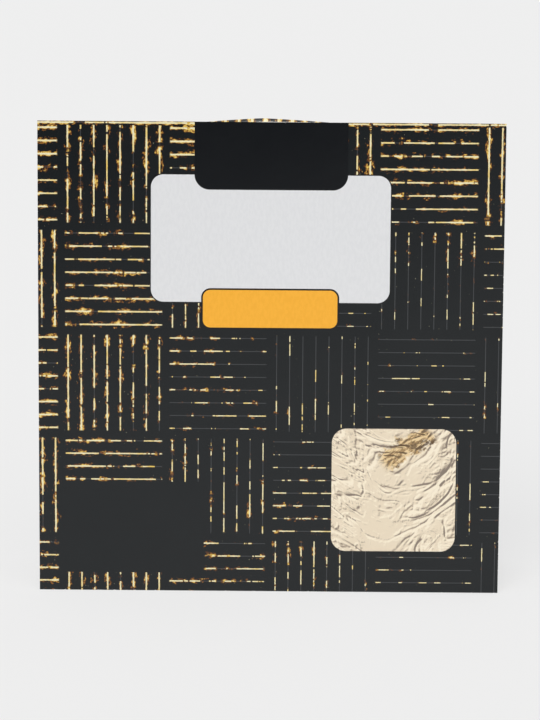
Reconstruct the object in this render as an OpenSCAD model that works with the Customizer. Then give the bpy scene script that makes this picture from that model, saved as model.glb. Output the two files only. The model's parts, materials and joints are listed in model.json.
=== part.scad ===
// Booklet of metal leaf for gilding: a creased card cover with five loose leaves
// kept apart by six tissue pages, which are glued into the fold.
// The booklet stands astride on its two free edges, with the fold on top.
// +X runs along the fold, the front cover faces -Y, and Z = 0 is the table.

/* [Leaf] */
// Side of one square leaf
leaf_side = 140; // [60:1:180]
// Thickness of one leaf, as thin as a solid sheet can usefully be drawn
leaf_t = 0.02; // [0.01:0.01:0.06]
// Distance from the bound edge of a tissue down to the top edge of its leaf
leaf_drop = 5; // [1:0.5:12]

/* [Tissue pages] */
// Width of a tissue page along the fold
tissue_w = 150; // [70:1:200]
// Length of a tissue page from its bound edge to its free edge
tissue_h = 151; // [76:1:210]
// Thickness of a tissue page
tissue_t = 0.05; // [0.03:0.01:0.12]
// Air between two sheets when the booklet is shut
sheet_gap = 0.09; // [0.05:0.01:0.2]

/* [Cover] */
// Width of the cover along the fold
cover_w = 160; // [80:1:220]
// Height of the cover from the top of the fold to the free edge
cover_h = 164; // [84:1:230]
// Thickness of the cover card
card_t = 0.4; // [0.2:0.05:0.7]

/* [Binding] */
// Running clearance between the fold and what turns round it
hinge_gap = 0.1; // [0.05:0.01:0.3]
// Clearance between the glue line and the inside of the card
glue_gap = 0.05; // [0.02:0.01:0.1]

/* [Stance] */
// Angle between the two covers as the booklet stands
cover_open = 12; // [6:1:40]

/* [Hidden] */

leaf_count = 5;
tissue_count = leaf_count + 1;

// The pages and leaves of the shut booklet, with air on both sides of each sheet,
// fill the space between the two covers, and that space sets the radius of the fold.
stack_t = tissue_count * tissue_t + leaf_count * leaf_t
    + (tissue_count + leaf_count + 1) * sheet_gap;
fold_in = (stack_t - card_t - hinge_gap) / 2;
fold_out = fold_in + card_t;
front_in = fold_out + hinge_gap;
bound_edge = fold_out + hinge_gap;

// Each cover leans half the opening, and both free edges stand on the table.
lean = cover_open / 2;
back_len = cover_h - fold_out;
front_len = back_len + (front_in - fold_in) * tan(lean);
ridge_z = back_len * cos(lean) - fold_in * sin(lean);

// The ridge moves a little off the middle so that the stance is centred on Y = 0.
front_reach = front_len * sin(lean) + (front_in + card_t) * cos(lean);
back_reach = back_len * sin(lean) + fold_out * cos(lean);
ridge_y = (front_reach - back_reach) / 2;

// More than the radius of the fold, so that a cutting block clears the glue line
glue_block = 2 * fold_out;

card_black = "#25272a";
tissue_white = "#f6f2e8";
leaf_gold = "#e3c98f";
glue_clear = "#e8e4d2";

$fn = 96;

// Distance from the ridge line, towards the front, of the back face of a tissue
function tissue_offset(i) =
    -fold_in + sheet_gap + (tissue_count - i) * (tissue_t + leaf_t + 2 * sheet_gap);

// A leaf lies on the front of the tissue that carries it
function leaf_offset(i) = tissue_offset(i + 1) + tissue_t + sheet_gap;

// The pages fan out evenly between the covers, with tissue 1 next to the front one
function page_lean(i) = lean - cover_open * (tissue_count + 1 - i) / (tissue_count + 1);

// Puts a sheet drawn straight down from the ridge line at its lean
module from_ridge(angle) {
    translate([0, ridge_y, ridge_z])
        rotate([angle, 0, 0])
            children();
}

// A flat sheet that starts below the ridge line and hangs down from it
module sheet(width, start, length, offset, thickness) {
    translate([-width / 2, -offset - thickness, -start - length])
        cube([width, thickness, length]);
}

// A rod along the ridge line
module ridge_rod(radius, length) {
    rotate([0, 90, 0])
        cylinder(r = radius, h = length, center = true);
}

// The creased strip of the card, rolled from the back cover over the top to the front
module cover_fold() {
    color(card_black)
        from_ridge(0)
            translate([-cover_w / 2, 0, 0])
                rotate([0, 90, 0])
                    rotate([0, 0, 90 + lean])
                        rotate_extrude(angle = 180 - cover_open)
                            translate([fold_in, 0])
                                square([card_t, cover_w]);
}

module back_cover() {
    color(card_black)
        from_ridge(lean)
            sheet(cover_w, 0, back_len, -fold_out, card_t);
}

module front_cover() {
    color(card_black)
        from_ridge(-lean)
            sheet(cover_w, 0, front_len, front_in, card_t);
}

// The bead of glue fills the fold and reaches down to the bound edges of the tissues
module glue_line() {
    bead_r = fold_in - glue_gap;
    color(glue_clear)
        from_ridge(0) {
            ridge_rod(bead_r, tissue_w);
            intersection() {
                ridge_rod(fold_out, tissue_w);
                translate([-tissue_w / 2, -bead_r, -glue_block])
                    cube([tissue_w, 2 * bead_r, glue_block]);
            }
        }
}

module tissue(i) {
    color(tissue_white)
        from_ridge(page_lean(i))
            sheet(tissue_w, bound_edge, tissue_h, tissue_offset(i), tissue_t);
}

module leaf(i) {
    color(leaf_gold)
        from_ridge(page_lean(i + 1))
            sheet(leaf_side, bound_edge + leaf_drop, leaf_side, leaf_offset(i), leaf_t);
}

front_cover();
cover_fold();
back_cover();
glue_line();
tissue(1);  // tissue_1
tissue(2);  // tissue_2
tissue(3);  // tissue_3
tissue(4);  // tissue_4
tissue(5);  // tissue_5
tissue(6);  // tissue_6
leaf(1);  // leaf_1
leaf(2);  // leaf_2
leaf(3);  // leaf_3
leaf(4);  // leaf_4
leaf(5);  // leaf_5
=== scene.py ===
import json
import math

import bpy
from mathutils import Matrix, Vector, noise


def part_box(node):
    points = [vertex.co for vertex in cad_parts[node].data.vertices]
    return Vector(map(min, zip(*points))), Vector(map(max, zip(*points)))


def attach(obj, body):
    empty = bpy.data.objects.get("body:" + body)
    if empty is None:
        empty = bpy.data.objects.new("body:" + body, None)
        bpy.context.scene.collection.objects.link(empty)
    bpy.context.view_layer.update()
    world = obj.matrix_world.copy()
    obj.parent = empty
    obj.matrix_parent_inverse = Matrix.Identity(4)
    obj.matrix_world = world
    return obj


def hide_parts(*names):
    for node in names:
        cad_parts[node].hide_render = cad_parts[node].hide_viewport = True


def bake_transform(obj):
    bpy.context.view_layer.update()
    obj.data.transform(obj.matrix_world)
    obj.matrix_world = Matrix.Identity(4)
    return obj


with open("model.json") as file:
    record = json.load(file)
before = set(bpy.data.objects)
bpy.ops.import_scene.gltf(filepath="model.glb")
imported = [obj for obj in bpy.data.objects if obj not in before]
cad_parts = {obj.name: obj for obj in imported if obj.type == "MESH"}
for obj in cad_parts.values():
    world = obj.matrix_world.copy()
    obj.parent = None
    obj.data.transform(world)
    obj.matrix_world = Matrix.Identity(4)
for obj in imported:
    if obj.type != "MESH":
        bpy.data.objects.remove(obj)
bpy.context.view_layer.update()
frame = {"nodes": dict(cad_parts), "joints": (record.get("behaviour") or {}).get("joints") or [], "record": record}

# Front cover: the front panel of one creased card. The card is black offset print under a
# satin laminate outside and bare board inside, cut square by guillotine. The booklet stands
# astride, so this panel hangs from the fold on top and leans on its lower edge.
cover_turn = next(j for j in frame["joints"] if j["name"] == "cover_turn")
fold_line = Vector(cover_turn["pos_m"])
opening = math.radians(-cover_turn["range_deg"][0])


def hanging_frame(share):
    """Places a sheet drawn straight down from the fold: share 1 leans as the front cover does
    and share 0 as the back cover does."""
    return Matrix.Translation(fold_line) @ Matrix.Rotation(opening * (0.5 - share), 4, "X")


def measure_sheet(node, share):
    """Lowest and highest corner of a sheet in its own hanging frame."""
    upright = hanging_frame(share).inverted()
    corners = [upright @ v.co for v in frame["nodes"][node].data.vertices]
    low = Vector(min(c[k] for c in corners) for k in range(3))
    high = Vector(max(c[k] for c in corners) for k in range(3))
    return low, high


# All the sheets were pressed together in storage, so they share one slight bow towards the
# front between the fold and the free edge, and still lie flat on one another.
bow_depth = 0.0004
cut_edge_bend = math.radians(40)
front_low, front_high = measure_sheet("front_cover", 1)
card_drop = -front_low.z


def shared_bow(down):
    return -bow_depth * math.sin(math.pi * min(max(down / card_drop, 0), 1))


def hang_sheet(name, low, high, share, body, columns, rows, finishes, cockle=None, draw_in=None):
    """A thin sheet as a fine grid with a front, a back and cut edges, one finish for each.
    Cockle lifts the sheet out of its plane, and draw_in moves the points of its rim."""
    place = hanging_frame(share)
    verts, front, back = [], {}, {}
    for face, y in ((front, low.y), (back, high.y)):
        for i in range(columns + 1):
            for k in range(rows + 1):
                x = low.x + (high.x - low.x) * i / columns
                z = high.z + (low.z - high.z) * k / rows
                out = shared_bow(-z) + (cockle(x, z) if cockle else 0)
                if draw_in:
                    x, z = draw_in(i, k, x, z)
                face[i, k] = len(verts)
                verts.append(place @ Vector((x, y + out, z)))
    faces, finish_of = [], []
    for i in range(columns):
        for k in range(rows):
            ring = [(i, k), (i, k + 1), (i + 1, k + 1), (i + 1, k)]
            faces.append([front[p] for p in ring])
            finish_of.append(0)
            faces.append([back[p] for p in reversed(ring)])
            finish_of.append(1)
    rim = [(i, 0) for i in range(columns)] + [(columns, k) for k in range(rows)]
    rim += [(i, rows) for i in range(columns, 0, -1)] + [(0, k) for k in range(rows, 0, -1)]
    for here, there in zip(rim, rim[1:] + rim[:1]):
        faces.append([front[here], front[there], back[there], back[here]])
        finish_of.append(2)
    sheet = make_sheet(name, verts, faces, finish_of, share, finishes)
    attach(sheet, body)
    return sheet


def make_sheet(name, verts, faces, finish_of, share, finishes):
    """Makes the mesh and marks each point's place on the flat sheet, for its finish."""
    mesh = bpy.data.meshes.new(name)
    mesh.from_pydata(verts, [], faces)
    for finish in finishes:
        mesh.materials.append(finish)
    flat = mesh.uv_layers.new(name="flat_sheet")
    upright = hanging_frame(share).inverted()
    for poly, which in zip(mesh.polygons, finish_of):
        poly.material_index = min(which, len(finishes) - 1)
        poly.use_smooth = which < 2
        for loop in poly.loop_indices:
            spot = upright @ mesh.vertices[mesh.loops[loop].vertex_index].co
            flat.data[loop].uv = (spot.x, -spot.z)
    mesh.set_sharp_from_angle(angle=cut_edge_bend)
    piece = bpy.data.objects.new(name, mesh)
    bpy.context.scene.collection.objects.link(piece)
    return piece


class Finish:
    """The nodes of a material or of the sky, with short ways to work out and mix values."""

    def __init__(self, owner, shader="BSDF_PRINCIPLED"):
        owner.use_nodes = True
        self.owner = owner
        self.tree = owner.node_tree
        self.shader = next(n for n in self.tree.nodes if n.type == shader)

    def feed(self, socket, value):
        if isinstance(value, bpy.types.NodeSocket):
            self.tree.links.new(value, socket)
        else:
            socket.default_value = value

    def reckon(self, operation, *values):
        node = self.tree.nodes.new("ShaderNodeMath")
        node.operation = operation
        for socket, value in zip(node.inputs, values):
            self.feed(socket, value)
        return node.outputs[0]

    def plus(self, *values):
        total = values[0]
        for value in values[1:]:
            total = self.reckon("ADD", total, value)
        return total

    def times(self, *values):
        total = values[0]
        for value in values[1:]:
            total = self.reckon("MULTIPLY", total, value)
        return total

    def minus(self, value, less):
        return self.reckon("SUBTRACT", value, less)

    def fade(self, value, low, high):
        node = self.tree.nodes.new("ShaderNodeMapRange")
        node.interpolation_type = "SMOOTHSTEP"
        for socket, given in zip(node.inputs, (value, low, high, 0.0, 1.0)):
            self.feed(socket, given)
        return node.outputs[0]

    def flat_place(self):
        node = self.tree.nodes.new("ShaderNodeUVMap")
        node.uv_map = "flat_sheet"
        parts = self.tree.nodes.new("ShaderNodeSeparateXYZ")
        self.tree.links.new(node.outputs[0], parts.inputs[0])
        return parts.outputs[0], parts.outputs[1]

    def spot(self, across, down, layer=0.0):
        node = self.tree.nodes.new("ShaderNodeCombineXYZ")
        for socket, value in zip(node.inputs, (across, down, layer)):
            self.feed(socket, value)
        return node.outputs[0]

    def grain(self, spot, scale, detail=2.0, roughness=0.5, distortion=0.0):
        node = self.tree.nodes.new("ShaderNodeTexNoise")
        self.feed(node.inputs["Vector"], spot)
        node.inputs["Scale"].default_value = scale
        node.inputs["Detail"].default_value = detail
        node.inputs["Roughness"].default_value = roughness
        node.inputs["Distortion"].default_value = distortion
        return node.outputs[0]

    def lay(self, share, below, above):
        node = self.tree.nodes.new("ShaderNodeMix")
        node.data_type = "RGBA"
        self.feed(node.inputs[0], share)
        self.feed(node.inputs[6], below)
        self.feed(node.inputs[7], above)
        return node.outputs[2]

    def relief(self, height, depth, strength):
        node = self.tree.nodes.new("ShaderNodeBump")
        node.inputs["Strength"].default_value = strength
        node.inputs["Distance"].default_value = depth
        self.feed(node.inputs["Height"], height)
        self.feed(self.shader.inputs["Normal"], node.outputs[0])


def beyond_edge(finish, across, down, shape):
    """How far a point lies outside a round-cornered shape, negative inside."""
    gaps, outside = [], []
    for value, low, high in ((across, "left", "right"), (down, "top", "bottom")):
        middle = (shape[low] + shape[high]) / 2
        half = (shape[high] - shape[low]) / 2
        from_middle = finish.reckon("ABSOLUTE", finish.minus(value, middle))
        gap = finish.minus(from_middle, half - shape["corner"])
        gaps.append(gap)
        beyond = finish.reckon("MAXIMUM", gap, 0.0)
        outside.append(finish.times(beyond, beyond))
    inside = finish.reckon("MINIMUM", finish.reckon("MAXIMUM", *gaps), 0.0)
    outer = finish.reckon("SQRT", finish.plus(*outside))
    return finish.minus(finish.plus(inside, outer), shape["corner"])


# The gold lines of the print look like worn foil: a thin pale core painted as a highlight,
# ragged yellow flakes on both sides of it with painted shade darkening their rims, gaps where
# none took, and a faint groove where one would be.
line_pitch = 0.0045
ground_black = (0.0050, 0.0070, 0.0083, 1)
groove_grey = (0.044, 0.047, 0.050, 1)
gold_highlight_and_speck = (0.78, 0.73, 0.48, 1)
gold_mid = (0.76, 0.52, 0.11, 1)
gold_rim_shade = (0.22, 0.072, 0.010, 1)
dashes_to_metre, flakes_to_metre, patches_to_metre, dust_to_metre = 190.0, 1250.0, 330.0, 1400.0
core_half_width, core_for_weight, core_for_flakes = 0.00006, 0.00011, 0.00018
core_blur = 0.00004
dashes_from, dashes_for_weight = 0.575, 0.15
flakes_from, flakes_for_weight = 0.565, 0.10
flake_fall_off = 95.0
line_seed_step = 7.3
groove_outer, groove_inner = 0.00020, 0.00008


def foil_lines(finish, over_lines, along_lines, weight, running):
    """Worn foil lines on the black ground. Weight is how much foil took, from 0 for a few
    dashes to 2 for whole lines, and running is 0 where the lines are left out."""
    step = finish.reckon("DIVIDE", over_lines, line_pitch)
    off_middle = finish.minus(finish.reckon("FRACT", step), 0.5)
    from_line = finish.times(finish.reckon("ABSOLUTE", off_middle), line_pitch)
    line_seed = finish.times(finish.reckon("FLOOR", step), line_seed_step)

    dash_spot = finish.spot(finish.times(along_lines, dashes_to_metre), line_seed)
    dashes = finish.grain(dash_spot, 1.0, 3.0, 0.62)
    needed = finish.minus(dashes_from, finish.times(weight, dashes_for_weight))
    kept = finish.fade(dashes, needed, finish.plus(needed, 0.012))
    kept_near = finish.fade(dashes, finish.minus(needed, 0.07), needed)

    along_slow = finish.times(along_lines, 0.5)
    flake_spot = finish.spot(over_lines, along_slow, line_seed)
    flakes = finish.grain(flake_spot, flakes_to_metre, 4.0, 0.68)
    patches = finish.grain(finish.spot(over_lines, along_slow, 3.3), patches_to_metre, 2.0)
    cover = finish.plus(finish.times(flakes, 0.55), finish.times(patches, 0.45))
    eased = finish.minus(flakes_from, finish.times(weight, flakes_for_weight))
    enough = finish.plus(eased, finish.times(from_line, flake_fall_off))
    flake_edge = finish.minus(cover, enough)
    flaked = finish.times(finish.fade(flake_edge, 0.0, 0.01), kept_near)

    widened = finish.times(weight, core_for_weight)
    roughened = finish.times(flakes, core_for_flakes)
    core_edge = finish.minus(finish.plus(core_half_width, widened, roughened), from_line)
    core = finish.times(finish.fade(core_edge, -core_blur, core_blur), kept)

    foil = finish.times(finish.reckon("MAXIMUM", flaked, core), running)
    # Painted light: a pale painted highlight along the core, and painted shade toward the flakes' rims
    core_highlight = finish.times(core, finish.plus(0.25, finish.times(patches, 1.2)))
    flake_shading = finish.times(finish.fade(flake_edge, -0.010, 0.19), flaked)
    tone = finish.reckon("MAXIMUM", core_highlight, flake_shading)
    gold = finish.lay(finish.fade(tone, 0.06, 0.44), gold_rim_shade, gold_mid)
    gold = finish.lay(finish.fade(tone, 0.5, 0.95), gold, gold_highlight_and_speck)
    groove = finish.times(finish.fade(from_line, groove_outer, groove_inner), running)
    ground = finish.lay(groove, ground_black, groove_grey)
    dust = finish.grain(finish.spot(over_lines, along_lines, 7.7), dust_to_metre, 1.0)
    specks = finish.times(finish.fade(dust, 0.775, 0.80), 0.3)
    ground = finish.lay(specks, ground, gold_highlight_and_speck)
    return finish.lay(foil, ground, gold)


# The lines lie in square blocks, upright and level by turns, as the strips of a woven mat do,
# and a border line runs along the crease. The foil took in broad drifts, more heavily towards
# the fold and the left.
lines_in_block = 8
border_down, border_room = 0.0005, 0.0013
drifts_to_metre = 24.0
fold_weight, left_weight, drift_weight, right_loss = 0.80, 0.82, 0.45, 0.42
least_weight = 0.12
strip_end, strip_end_blur = 0.47, 0.015


def woven_foil(finish, across, down):
    block_side = line_pitch * lines_in_block
    column = finish.reckon("FLOOR", finish.reckon("DIVIDE", across, block_side))
    course = finish.reckon("FLOOR", finish.reckon("DIVIDE", down, block_side))
    level = finish.reckon("FLOORED_MODULO", finish.plus(column, course), 2.0)
    upright = finish.minus(1.0, level)
    over_lines = finish.plus(finish.times(across, upright), finish.times(down, level))
    along_lines = finish.plus(finish.times(down, upright), finish.times(across, level))
    drift = finish.grain(finish.spot(across, down, 4.2), drifts_to_metre, 1.0)
    drift = finish.times(finish.fade(drift, 0.40, 0.66), drift_weight)
    near_fold = finish.times(finish.fade(down, 0.06, 0.0), fold_weight)
    near_left = finish.times(finish.fade(across, 0.01, -0.08), left_weight)
    far_right = finish.times(finish.fade(across, 0.01, 0.06), finish.fade(down, 0.03, 0.07))
    heavier = finish.reckon("MAXIMUM", near_fold, near_left)
    weight = finish.plus(least_weight, heavier, drift, finish.times(far_right, -right_loss))
    run = finish.reckon("FRACT", finish.reckon("DIVIDE", along_lines, block_side))
    from_middle = finish.reckon("ABSOLUTE", finish.minus(run, 0.5))
    running = finish.fade(from_middle, strip_end, strip_end - strip_end_blur)

    # The border line takes the weave's place in a narrow strip below the crease
    border = finish.reckon("LESS_THAN", down, border_room)
    woven = finish.minus(1.0, border)
    over_border = finish.times(finish.plus(down, line_pitch / 2 - border_down), border)
    over_lines = finish.plus(over_border, finish.times(over_lines, woven))
    along_lines = finish.plus(finish.times(across, border), finish.times(along_lines, woven))
    running = finish.reckon("MAXIMUM", running, border)
    return foil_lines(finish, over_lines, along_lines, weight, running)


# The swatch is a printed picture of one crumpled leaf: cream gold, with long thin creases that
# run up to both sides, and one bronzed fold. The picture's own light comes from the upper left,
# and is found by laying the creases over themselves a little to one side.
swatch = {"left": 0.0216, "right": 0.0647, "top": 0.1054, "bottom": 0.1486, "corner": 0.0051}
leaf_cream = (0.765, 0.655, 0.495, 1)
leaf_lit = (0.875, 0.780, 0.615, 1)
leaf_shade = (0.47, 0.385, 0.29, 1)
crease_brown = (0.17, 0.135, 0.11, 1)
bronze_light = (0.76, 0.56, 0.29, 1)
bronze_mid = (0.36, 0.215, 0.075, 1)
bronze_deep = (0.105, 0.057, 0.020, 1)
bronze_across, bronze_down, bronze_slant = 0.0475, 0.1118, 0.75
bronze_outer, bronze_inner = 0.0056, 0.0030
bronze_end, bronze_full = 0.0150, 0.0105
bronze_fraying, bronze_streaks_to_metre = 0.018, 520.0
light_step, light_slant = 0.0004, 1.3
ridge_shift, ridge_softness = 0.002, 0.00002
fold_fan = 0.62
long_folds_to_metre, short_folds_to_metre = 84.0, 260.0
long_height, short_height = 4.2, 1.1


def crumpled_picture(finish, across, down):
    ridge = (swatch["left"] + swatch["right"]) / 2 - ridge_shift

    def crumple(shift):
        here = finish.plus(across, shift)
        low_down = finish.plus(down, shift * light_slant)
        off = finish.minus(here, ridge)
        spread = finish.reckon("SQRT", finish.plus(finish.times(off, off), ridge_softness))
        flow = finish.plus(low_down, finish.times(spread, fold_fan))
        long_spot = finish.spot(finish.times(here, 0.55), flow, 1.7)
        long_folds = finish.grain(long_spot, long_folds_to_metre, 2.5, 0.5, 1.7)
        short_spot = finish.spot(finish.times(here, 0.75), flow, 6.1)
        short_folds = finish.grain(short_spot, short_folds_to_metre, 3.0, 0.6, 1.4)
        from_long = finish.reckon("ABSOLUTE", finish.minus(long_folds, 0.5))
        from_short = finish.reckon("ABSOLUTE", finish.minus(short_folds, 0.5))
        long_crest = finish.times(finish.fade(from_long, 0.06, 0.0), 0.85)
        short_crest = finish.times(finish.fade(from_short, 0.09, 0.0), 0.22)
        long_rise = finish.times(long_folds, long_height)
        short_rise = finish.times(short_folds, short_height)
        return finish.plus(long_crest, short_crest, long_rise, short_rise)

    slope = finish.minus(crumple(0.0), crumple(light_step))
    uneven = finish.fade(finish.grain(finish.spot(across, down, 9.3), 95.0, 1.0), 0.40, 0.60)
    sides = finish.fade(finish.reckon("ABSOLUTE", finish.minus(across, ridge)), 0.003, 0.017)
    strength = finish.plus(0.28, finish.times(uneven, 0.45), finish.times(sides, 0.62))
    slope = finish.times(slope, strength)
    colour = finish.lay(finish.fade(slope, 0.02, 0.30), leaf_cream, leaf_lit)
    colour = finish.lay(finish.fade(slope, -0.06, -0.34), colour, leaf_shade)
    colour = finish.lay(finish.times(finish.fade(slope, -0.28, -0.68), 0.8), colour, crease_brown)

    # The bronzed fold runs from the middle of the picture up to the right
    from_fold = finish.minus(across, bronze_across)
    above_fold = finish.minus(bronze_down, down)
    along = finish.plus(from_fold, finish.times(above_fold, 0.8))
    off_fold = finish.minus(above_fold, finish.times(from_fold, bronze_slant))
    frays = finish.minus(finish.grain(finish.spot(across, down, 2.2), 260.0, 4.0, 0.72), 0.5)
    frays = finish.times(frays, bronze_fraying)
    frayed_off = finish.plus(finish.reckon("ABSOLUTE", off_fold), frays)
    near = finish.fade(frayed_off, bronze_outer, bronze_inner)
    there = finish.fade(finish.reckon("ABSOLUTE", along), bronze_end, bronze_full)
    streak_spot = finish.spot(finish.times(along, 0.4), off_fold, 4.4)
    streaks = finish.grain(streak_spot, bronze_streaks_to_metre, 4.0, 0.65)
    bronze = finish.lay(finish.fade(streaks, 0.46, 0.54), bronze_light, bronze_mid)
    bronze = finish.lay(finish.fade(streaks, 0.55, 0.61), bronze, bronze_deep)
    bronze = finish.lay(finish.fade(slope, 0.02, -0.24), bronze, bronze_deep)
    return finish.lay(finish.times(near, there, 0.92), colour, bronze)


# The other printed shapes are bare: a black tag that hangs over the fold, a pale panel with a
# dark outline, an orange label on its lower edge, and a black block at the lower left.
tag = {"left": -0.0263, "right": 0.0262, "top": -0.02, "bottom": 0.0231, "corner": 0.0052}
panel = {"left": -0.0412, "right": 0.0409, "top": 0.0180, "bottom": 0.0617, "corner": 0.0043}
label = {"left": -0.0233, "right": 0.0230, "top": 0.0575, "bottom": 0.0705, "corner": 0.0026}
block = {"left": -0.0714, "right": -0.0227, "top": 0.1245, "bottom": 0.1568, "corner": 0.0001}
tag_black = (0.0014, 0.0025, 0.0042, 1)
panel_grey = (0.703, 0.707, 0.718, 1)
panel_mottle = (0.680, 0.685, 0.697, 1)
label_orange = (0.88, 0.42, 0.036, 1)
label_mottle = (0.85, 0.40, 0.030, 1)
outline_black = (0.0045, 0.0045, 0.0055, 1)
board_white = (0.87, 0.86, 0.825, 1)
board_shade = (0.78, 0.765, 0.72, 1)
panel_outline, label_outline = 0.0004, 0.0006
print_blur, picture_blur = 0.00005, 0.00006
uncut_top = -0.01
rubbed_from, rubbed_depth, rubbed_share = 0.56, 0.0018, 0.8


def printed_card(name, low, high, with_front_shapes):
    finish = Finish(bpy.data.materials.new(name))
    across, down = finish.flat_place()
    here = finish.spot(across, down)
    colour = woven_foil(finish, across, down)
    if with_front_shapes:
        bare = finish.reckon("LESS_THAN", beyond_edge(finish, across, down, block), 0.0)
        colour = finish.lay(bare, colour, ground_black)
        beyond = beyond_edge(finish, across, down, swatch)
        pictured = finish.fade(beyond, picture_blur, -picture_blur)
        colour = finish.lay(pictured, colour, crumpled_picture(finish, across, down))
        mottle = finish.grain(finish.spot(finish.times(across, 2.5), down, 8.0), 420.0, 3.0, 0.6)
        for shape, ink, light_ink, outline in (
            (panel, panel_mottle, panel_grey, panel_outline),
            (label, label_mottle, label_orange, label_outline),
            (tag, tag_black, tag_black, 0.0),
        ):
            beyond = beyond_edge(finish, across, down, shape)
            lined = finish.fade(beyond, outline + print_blur, outline - print_blur)
            colour = finish.lay(lined, colour, outline_black)
            inked = finish.lay(finish.fade(mottle, 0.4, 0.6), ink, light_ink)
            colour = finish.lay(finish.fade(beyond, print_blur, -print_blur), colour, inked)

    # The ink is rubbed off in places along the three cut edges, but not at the crease
    whole = {"left": low.x, "right": high.x, "top": uncut_top, "bottom": -low.z, "corner": 0.0001}
    rubbed = finish.grain(here, 700.0, 4.0, 0.7)
    worn_in = finish.times(finish.minus(rubbed, rubbed_from), rubbed_depth)
    from_cut = finish.plus(beyond_edge(finish, across, down, whole), worn_in)
    worn = finish.times(finish.fade(from_cut, -0.00002, 0.00008), rubbed_share)
    colour = finish.lay(worn, colour, board_white)
    finish.feed(finish.shader.inputs["Base Color"], colour)

    handled = finish.grain(here, 45.0, 4.0, 0.6)
    finish.feed(finish.shader.inputs["Roughness"], finish.plus(0.15, finish.times(handled, 0.12)))
    finish.shader.inputs["Specular IOR Level"].default_value = 0.40
    waves = finish.times(finish.grain(here, 320.0, 2.0), 2.0)
    uneven = finish.plus(finish.grain(here, 2600.0, 2.0), waves)
    finish.relief(uneven, depth=0.000012, strength=0.35)
    return finish.owner


def bare_board():
    """Uncoated white board with short, faint fibres, inside the card and on its cut edges."""
    finish = Finish(bpy.data.materials.new("bare_board"))
    across, down = finish.flat_place()
    here = finish.spot(across, down)
    fibres = finish.grain(finish.spot(finish.times(across, 3.0), down), 900.0, 4.0, 0.7)
    clouds = finish.grain(here, 60.0, 3.0)
    tone = finish.plus(finish.times(fibres, 0.6), finish.times(clouds, 0.4))
    white = finish.lay(finish.fade(tone, 0.35, 0.7), board_shade, board_white)
    finish.feed(finish.shader.inputs["Base Color"], white)
    finish.feed(finish.shader.inputs["Roughness"], finish.plus(0.78, finish.times(fibres, 0.15)))
    finish.relief(fibres, depth=0.00003, strength=0.5)
    return finish.owner


front_print = printed_card("front_print", front_low, front_high, True)
board = bare_board()
panel_columns, panel_rows = 24, 48
front_panel = hang_sheet(
    "front_panel", front_low, front_high, 1, "front", panel_columns, panel_rows,
    [front_print, board, board],
)
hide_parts("front_cover")

# Back cover: the other panel of the same card, with the print on the side away from the pages.
# Its top edge ends just under the fold, where the roll of the card runs into it.
back_low, back_high = measure_sheet("back_cover", 0)
roll_drop = 0.0006
back_high.z -= roll_drop
back_print = printed_card("back_print", back_low, back_high, False)
back_panel = hang_sheet(
    "back_panel", back_low, back_high, 0, "back", panel_columns, panel_rows,
    [board, back_print, board],
)
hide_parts("back_cover")

# The fold: the strip of the same card between the two creases, with gold lines across it. It
# was pressed nearly flat at both ends and springs up a little in the middle, and the laminate
# has cracked along the front crease there, so the white board shows as a hairline.
bulge_left, bulge_peak, bulge_right = -0.0225, -0.0032, 0.0205
bulge_height, pressed_height = 0.0015, 0.00012
crack_left, crack_right, crack_fade = -0.0060, 0.0172, 0.002
crack_outer, crack_inner = 0.00009, 0.00004
fold_weight_of_foil = 1.8
fold_columns, fold_turns = 160, 14


def creased_print():
    finish = Finish(bpy.data.materials.new("fold_print"))
    across, down = finish.flat_place()
    weave = foil_lines(finish, across, down, fold_weight_of_foil, 1.0)
    broken = finish.grain(finish.spot(across, 0.0, 2.0), 700.0, 2.0)
    from_left = finish.fade(across, crack_left, crack_left + crack_fade)
    from_right = finish.fade(across, crack_right, crack_right - crack_fade)
    near = finish.fade(finish.reckon("ABSOLUTE", down), crack_outer, crack_inner)
    crack = finish.times(from_left, from_right, near, finish.fade(broken, 0.30, 0.42))
    finish.feed(finish.shader.inputs["Base Color"], finish.lay(crack, weave, board_shade))
    finish.shader.inputs["Roughness"].default_value = 0.3
    bent_fibres = finish.grain(finish.spot(across, down), 900.0, 3.0)
    finish.relief(bent_fibres, depth=0.00003, strength=0.4)
    return finish.owner


def fold_rise(x):
    if x < bulge_left or x > bulge_right:
        return pressed_height
    side = bulge_left if x < bulge_peak else bulge_right
    share = (x - bulge_peak) / (side - bulge_peak)
    swell = 1 - share ** 1.3
    return pressed_height + (bulge_height - pressed_height) * swell


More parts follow.
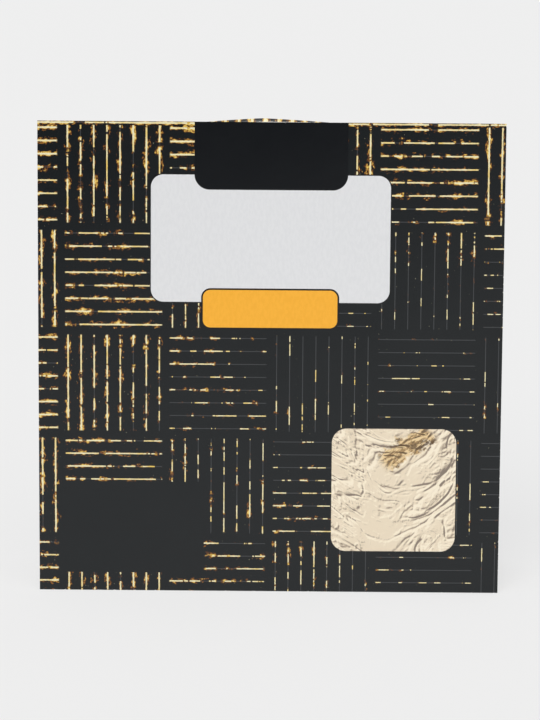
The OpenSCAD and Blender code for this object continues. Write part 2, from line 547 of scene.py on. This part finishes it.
def fold_strip(front_edge, back_edge):
    """The strip from the front crease to the back one. Its place on the flat card is measured
    from the front crease, up over the fold."""
    card = front_high.y - front_low.y
    verts, outer, inner = [], {}, {}
    for layer, sink in ((outer, 0.0), (inner, card)):  # the inner face lies one card deeper
        for i in range(fold_columns + 1):
            x = front_low.x + (front_high.x - front_low.x) * i / fold_columns
            for k in range(fold_turns + 1):
                t = k / fold_turns
                chord = front_edge.lerp(back_edge, t)
                hump = 4 * t * (1 - t)
                y = chord.y + sink * (1 - 2 * t)
                z = chord.z + (fold_rise(x) - sink) * hump
                layer[i, k] = len(verts)
                verts.append(Vector((x, y, z)))
    faces, finish_of = [], []
    for i in range(fold_columns):
        for k in range(fold_turns):
            ring = [(i, k), (i + 1, k), (i + 1, k + 1), (i, k + 1)]
            faces.append([outer[p] for p in ring])
            finish_of.append(0)
            faces.append([inner[p] for p in reversed(ring)])
            finish_of.append(1)
    for i, turn in ((0, 1), (fold_columns, -1)):
        for k in range(fold_turns):
            end = [outer[i, k], outer[i, k + 1], inner[i, k + 1], inner[i, k]]
            faces.append(end[::turn])
            finish_of.append(2)
    for k, turn in ((0, -1), (fold_turns, 1)):
        for i in range(fold_columns):
            edge = [outer[i, k], outer[i + 1, k], inner[i + 1, k], inner[i, k]]
            faces.append(edge[::turn])
            finish_of.append(2)
    strip = make_sheet("fold_strip", verts, faces, finish_of, 0.5, [fold_print, board, board])
    flat = strip.data.uv_layers["flat_sheet"]
    arc = (back_edge - front_edge).length
    turn_of = {index: k / fold_turns for (_, k), index in outer.items()}
    for loop in strip.data.loops:
        if loop.vertex_index in turn_of:
            x = verts[loop.vertex_index].x
            flat.data[loop.index].uv = (x, -arc * turn_of[loop.vertex_index])
    return strip


fold_print = creased_print()
front_crease = hanging_frame(1) @ Vector((0, front_low.y, 0))
back_crease = hanging_frame(0) @ Vector((0, back_high.y, back_high.z))
fold = fold_strip(front_crease, back_crease)
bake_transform(fold)
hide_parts("cover_fold")

# Glue line: the bead of dried glue that holds the tissues in the fold, yellowish and uneven.
# It was run along the fold while the card lay open, and squeezed flat under the crease when
# the card was shut. The bound edges of the tissues end just below it.
glue_half_width = 0.00040
glue_top, glue_unevenness = -0.00066, 0.00004
glue_reach = 0.00087
glue_columns, glue_across = 300, (-1.0, -0.6, -0.2, 0.2, 0.6, 1.0)
thinned_columns, end_thinning = 6, 0.5
glue_edge_bend = math.radians(50)
glue_pale = (0.80, 0.76, 0.62, 1)
glue_deep = (0.62, 0.55, 0.38, 1)


def glue_bead(low, high):
    """A squeezed bead: flat and uneven on top, round below, and thinner at its two ends."""
    verts, rings = [], []
    for i in range(glue_columns + 1):
        x = low.x + (high.x - low.x) * i / glue_columns
        from_end = min(i, glue_columns - i)
        near_end = max(0, 1 - from_end / thinned_columns)
        half = glue_half_width * (1 - end_thinning * near_end ** 2)
        sides = [half * side for side in glue_across]
        dips = [abs(noise.noise(Vector((x * 900, y * 4000, 0)))) for y in sides]
        top = [(y, glue_top - glue_unevenness * dip) for y, dip in zip(sides, dips)]
        below = [(y, -math.sqrt(glue_reach ** 2 - y ** 2)) for y in reversed(sides)]
        rings.append(range(len(verts), len(verts) + len(top) + len(below)))
        verts += [Vector((x, fold_line.y + y, fold_line.z + z)) for y, z in top + below]
    faces = [list(rings[0]), list(reversed(rings[-1]))]
    for here, there in zip(rings, rings[1:]):
        around = list(zip(here, there))
        for (a, b), (d, c) in zip(around, around[1:] + around[:1]):
            faces.append([a, b, c, d])
    mesh = bpy.data.meshes.new("glue_bead")
    mesh.from_pydata(verts, [], faces)
    for poly in mesh.polygons:
        poly.use_smooth = True
    mesh.set_sharp_from_angle(angle=glue_edge_bend)
    bead = bpy.data.objects.new("glue_bead", mesh)
    bpy.context.scene.collection.objects.link(bead)
    return bead


def dried_glue():
    finish = Finish(bpy.data.materials.new("dried_glue"))
    place = finish.tree.nodes.new("ShaderNodeTexCoord").outputs["Object"]
    clouds = finish.grain(place, 420.0, 3.0)
    tone = finish.lay(finish.fade(clouds, 0.35, 0.65), glue_pale, glue_deep)
    finish.feed(finish.shader.inputs["Base Color"], tone)
    finish.shader.inputs["Roughness"].default_value = 0.35
    finish.relief(clouds, depth=0.0001, strength=0.6)
    return finish.owner


bead = glue_bead(*(Vector(corner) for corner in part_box("glue_line")))
bead.data.materials.append(dried_glue())
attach(bead, "back")
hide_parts("glue_line")

# Tissue pages: six sheets of thin, slightly cockled tissue, cut by guillotine and glued into
# the fold by one edge. Each keeps two leaves, or a leaf and a cover, apart.
tissue_light = (0.88, 0.855, 0.795, 1)
tissue_thin = (0.79, 0.76, 0.695, 1)
follows_cover = {c["joint"]: c["ratio"] for c in frame["record"]["behaviour"]["couplings"]}
page_count = sum(1 for name in follows_cover if name.startswith("page_"))
tissue_cockle = 0.00003
tissue_grid = 60


def cockled(page):
    """Slight waves of one page, low enough to stay inside the air between two sheets."""
    def cockle(x, z):
        return tissue_cockle * noise.noise(Vector((x * 70, z * 45, page * 5.0)))
    return cockle


def tissue_paper():
    finish = Finish(bpy.data.materials.new("tissue_paper"))
    across, down = finish.flat_place()
    here = finish.spot(across, down)
    fibres = finish.grain(finish.spot(finish.times(across, 0.35), down, 3.0), 1100.0, 4.0, 0.7)
    look_through = finish.grain(here, 190.0, 4.0, 0.65)
    tone = finish.plus(finish.times(fibres, 0.45), finish.times(look_through, 0.55))
    white = finish.lay(finish.fade(tone, 0.38, 0.62), tissue_thin, tissue_light)
    finish.feed(finish.shader.inputs["Base Color"], white)
    finish.shader.inputs["Roughness"].default_value = 0.82
    cockle = finish.grain(finish.spot(across, finish.times(down, 0.3), 5.0), 70.0, 2.0)
    height = finish.plus(cockle, finish.times(fibres, 0.06))
    finish.relief(height, depth=0.0006, strength=0.7)
    return finish.owner


tissue = tissue_paper()
for page in range(1, page_count + 1):
    share = follows_cover[f"page_{page}_turn"]
    low, high = measure_sheet(f"tissue_{page}", share)
    sheet = hang_sheet(
        f"tissue_page_{page}", low, high, share, f"page_{page}",
        tissue_grid, tissue_grid, [tissue], cockled(page),
    )
    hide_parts(f"tissue_{page}")

# Leaves: five squares of beaten brass leaf, laid loose on the tissues. They are so thin that
# they take a net of creases, drawn as relief with painted shade along them, and their edges are never cut quite
# clean.
leaf_gold = (0.93, 0.80, 0.55, 1)
leaf_warm = (0.86, 0.68, 0.41, 1)
crease_shade_gold = (0.50, 0.35, 0.17, 1)
wide_facets_to_metre, small_facets_to_metre = 45.0, 150.0
leaf_grid = 100
leaf_crumple = 0.000035
ragged_depth = 0.0007


def facets(finish, spot, scale, feature):
    """Straight-sided facets, as creases leave them in stiff foil."""
    node = finish.tree.nodes.new("ShaderNodeTexVoronoi")
    node.feature = feature
    finish.feed(node.inputs["Vector"], spot)
    node.inputs["Scale"].default_value = scale
    return node.outputs["Distance"]


def beaten_leaf(leaf):
    finish = Finish(bpy.data.materials.new(f"beaten_leaf_{leaf}"))
    across, down = finish.flat_place()
    here = finish.spot(across, down, leaf * 2.0)
    pulled = finish.times(finish.minus(finish.grain(here, 60.0, 3.0), 0.5), 0.008)
    tilted = finish.plus(finish.times(down, 1.5), finish.times(across, 0.6), pulled)
    slanted = finish.spot(finish.plus(across, pulled), tilted, leaf * 0.7)
    creases = finish.grain(slanted, 85.0, 5.0, 0.6, 1.2)
    fine = finish.grain(here, 620.0, 4.0, 0.7)
    wide_facets = facets(finish, slanted, wide_facets_to_metre, "F1")
    small_facets = facets(finish, slanted, small_facets_to_metre, "F1")
    wide_edges = facets(finish, slanted, wide_facets_to_metre, "DISTANCE_TO_EDGE")
    small_edges = facets(finish, slanted, small_facets_to_metre, "DISTANCE_TO_EDGE")
    # Painted shade: the crease lines are darkened in the colour, on top of their relief
    crest = finish.times(finish.fade(wide_edges, 0.02, 0.0), finish.fade(creases, 0.42, 0.55))
    wrinkle = finish.times(finish.fade(small_edges, 0.05, 0.0), finish.fade(creases, 0.55, 0.45))
    brass = finish.lay(finish.fade(creases, 0.35, 0.62), leaf_warm, leaf_gold)
    brass = finish.lay(finish.times(wrinkle, 0.35), brass, crease_shade_gold)
    brass = finish.lay(finish.times(crest, 0.6), brass, crease_shade_gold)
    finish.feed(finish.shader.inputs["Base Color"], brass)
    finish.shader.inputs["Metallic"].default_value = 1.0
    finish.feed(finish.shader.inputs["Roughness"], finish.plus(0.20, finish.times(fine, 0.2)))
    broad = finish.plus(finish.times(wide_facets, 0.8), finish.times(small_facets, 0.3))
    height = finish.plus(broad, finish.times(creases, 0.5), finish.times(fine, 0.1))
    finish.relief(height, depth=0.0024, strength=0.9)
    return finish.owner


def crumpled(leaf):
    """Real crumple of one leaf, low enough to stay inside the air between two sheets."""
    def cockle(x, z):
        broad = noise.noise(Vector((x * 130, (z + 0.5 * x) * 220, leaf * 5.0)))
        narrow = noise.noise(Vector((x * 260, (z + 0.5 * x) * 420, leaf * 3.0)))
        return leaf_crumple * (0.65 * broad + 0.35 * narrow)
    return cockle


def ragged_edge(leaf):
    """Draws the outermost points of one leaf's grid inwards by a small, uneven amount."""
    def draw_in(i, k, x, z):
        unevenness = noise.noise(Vector((x * 380, z * 380, leaf * 5.0)))
        inset = ragged_depth * (0.5 + 0.5 * unevenness)
        if i == 0:
            x += inset
        if i == leaf_grid:
            x -= inset
        if k == 0:
            z -= inset
        if k == leaf_grid:
            z += inset
        return x, z
    return draw_in


for leaf in range(1, page_count):
    share = follows_cover[f"page_{leaf + 1}_turn"]
    low, high = measure_sheet(f"leaf_{leaf}", share)
    foil = hang_sheet(
        f"metal_leaf_{leaf}", low, high, share, f"loose_leaf_{leaf}",
        leaf_grid, leaf_grid, [beaten_leaf(leaf)], crumpled(leaf), ragged_edge(leaf),
    )
    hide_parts(f"leaf_{leaf}")

# The studio: a wide pale table that also fills the background, and even, soft daylight from
# the front left and the front right. The room behind the camera is dim, so the laminate
# mirrors the table at the bottom of the cover and the dim room at its top.
table_grey = (0.828, 0.828, 0.828, 1)
table_cloud = (0.822, 0.822, 0.822, 1)
background_grey = (0.863, 0.863, 0.863, 1)
background_share = 0.76
table_reach, table_drop = 6.0, 0.0001
table_finish = Finish(bpy.data.materials.new("table"))
table_place = table_finish.tree.nodes.new("ShaderNodeTexCoord").outputs["Object"]
table_clouds = table_finish.fade(table_finish.grain(table_place, 3.0), 0.2, 0.8)
table_tone = table_finish.lay(table_clouds, table_cloud, table_grey)
table_finish.feed(table_finish.shader.inputs["Base Color"], table_tone)
table_finish.shader.inputs["Roughness"].default_value = 0.9
table_finish.shader.inputs["Specular IOR Level"].default_value = 0.0
table_glow = table_finish.tree.nodes.new("ShaderNodeEmission")
table_glow.inputs["Color"].default_value = background_grey
table_seen = table_finish.tree.nodes.new("ShaderNodeLightPath").outputs
seen_rays = table_finish.reckon("MAXIMUM", table_seen["Is Camera Ray"], table_seen["Is Glossy Ray"])
seen_rays = table_finish.reckon("MAXIMUM", seen_rays, table_seen["Is Transmission Ray"])
table_both = table_finish.tree.nodes.new("ShaderNodeMixShader")
table_finish.feed(table_both.inputs[0], table_finish.times(seen_rays, background_share))
table_finish.feed(table_both.inputs[1], table_finish.shader.outputs[0])
table_finish.feed(table_both.inputs[2], table_glow.outputs[0])
table_out = next(n for n in table_finish.tree.nodes if n.type == "OUTPUT_MATERIAL")
table_finish.feed(table_out.inputs[0], table_both.outputs[0])
table_mesh = bpy.data.meshes.new("table")
table_sides = ((-1, -1), (1, -1), (1, 1), (-1, 1))
table_corners = [(x * table_reach, y * table_reach, -table_drop) for x, y in table_sides]
table_mesh.from_pydata(table_corners, [], [(0, 1, 2, 3)])
table_mesh.materials.append(table_finish.owner)
table = bpy.data.objects.new("table", table_mesh)
bpy.context.scene.collection.objects.link(table)


def way_towards(azimuth, elevation):
    """The direction from the booklet to a lamp or camera: azimuth 0 is straight in front."""
    turn, lift = math.radians(azimuth), math.radians(elevation)
    level = math.cos(lift)
    return Vector((math.sin(turn) * level, -math.cos(turn) * level, math.sin(lift)))


def daylight(name, azimuth, elevation, strength, softness):
    lamp = bpy.data.lights.new(name, "SUN")
    lamp.energy = strength
    lamp.angle = math.radians(softness)
    holder = bpy.data.objects.new(name, lamp)
    holder.rotation_mode = "QUATERNION"
    holder.rotation_quaternion = way_towards(azimuth, elevation).to_track_quat("Z", "Y")
    bpy.context.scene.collection.objects.link(holder)


daylight("left_window", azimuth=-24, elevation=46, strength=1.55, softness=40)
daylight("right_window", azimuth=28, elevation=50, strength=0.45, softness=50)

# The even light of the room grows from the horizon up
horizon_light, overhead_light, light_growth = 0.17, 0.60, 2.0
sky = Finish(bpy.data.worlds.new("studio"), "BACKGROUND")
bpy.context.scene.world = sky.owner
sky_way = sky.tree.nodes.new("ShaderNodeTexCoord").outputs["Generated"]
sky_parts = sky.tree.nodes.new("ShaderNodeSeparateXYZ")
sky.feed(sky_parts.inputs[0], sky_way)
grown = sky.reckon("MAXIMUM", sky.times(sky_parts.outputs[2], light_growth), 0.0)
rise = sky.reckon("MINIMUM", grown, 1.0)
sky.shader.inputs["Color"].default_value = (1, 1, 1, 1)
sky.feed(
    sky.shader.inputs["Strength"],
    sky.plus(horizon_light, sky.times(rise, overhead_light - horizon_light)),
)

# What the laminate and the leaves mirror: pale all round, but dim behind the camera
room_dim, room_pale = 0.04, 0.863
dim_from, dim_to, dim_slant = 0.025, 0.07, 0.25
room = sky.tree.nodes.new("ShaderNodeBackground")
room.inputs["Color"].default_value = (1, 1, 1, 1)
behind = sky.fade(sky_parts.outputs[1], 0.1, -0.8)
above_table = sky.minus(sky_parts.outputs[2], sky.times(sky_parts.outputs[0], dim_slant))
dimmed = sky.times(behind, sky.fade(above_table, dim_from, dim_to))
sky.feed(room.inputs["Strength"], sky.minus(room_pale, sky.times(dimmed, room_pale - room_dim)))

# What the camera sees past the table is the table's own grey
backdrop = sky.tree.nodes.new("ShaderNodeBackground")
backdrop.inputs["Color"].default_value = background_grey
seen = sky.tree.nodes.new("ShaderNodeLightPath")
mirrored = sky.reckon("MAXIMUM", seen.outputs["Is Glossy Ray"], seen.outputs["Is Transmission Ray"])
for_mirrors = sky.tree.nodes.new("ShaderNodeMixShader")
sky.feed(for_mirrors.inputs[0], mirrored)
sky.feed(for_mirrors.inputs[1], sky.shader.outputs[0])
sky.feed(for_mirrors.inputs[2], room.outputs[0])
for_camera = sky.tree.nodes.new("ShaderNodeMixShader")
sky.feed(for_camera.inputs[0], seen.outputs["Is Camera Ray"])
sky.feed(for_camera.inputs[1], for_mirrors.outputs[0])
sky.feed(for_camera.inputs[2], backdrop.outputs[0])
sky_out = next(n for n in sky.tree.nodes if n.type == "OUTPUT_WORLD")
sky.feed(sky_out.inputs[0], for_camera.outputs[0])

# The camera stands a little above the booklet, straight in front of it, and hangs a hair
# out of level.
camera_way = {"azimuth": 0.23, "elevation": 13.17, "roll": 0.38, "distance": 0.8}
aim = Vector((-0.0001, 0, 0.0788))
focal_in_pixels, long_side_pixels = 2288.3, 720
camera_data = bpy.data.cameras.new("camera")
camera_data.sensor_width = 36
camera_data.lens = focal_in_pixels * camera_data.sensor_width / long_side_pixels
camera = bpy.data.objects.new("camera", camera_data)
back_off = way_towards(camera_way["azimuth"], camera_way["elevation"])
camera.location = aim + back_off * camera_way["distance"]
camera.rotation_mode = "QUATERNION"
level = (-back_off).to_track_quat("-Z", "Y")
roll = Matrix.Rotation(math.radians(camera_way["roll"]), 4, "Z").to_quaternion()
camera.rotation_quaternion = level @ roll
bpy.context.scene.collection.objects.link(camera)
bpy.context.scene.camera = camera
bpy.context.scene.view_settings.view_transform = "Standard"
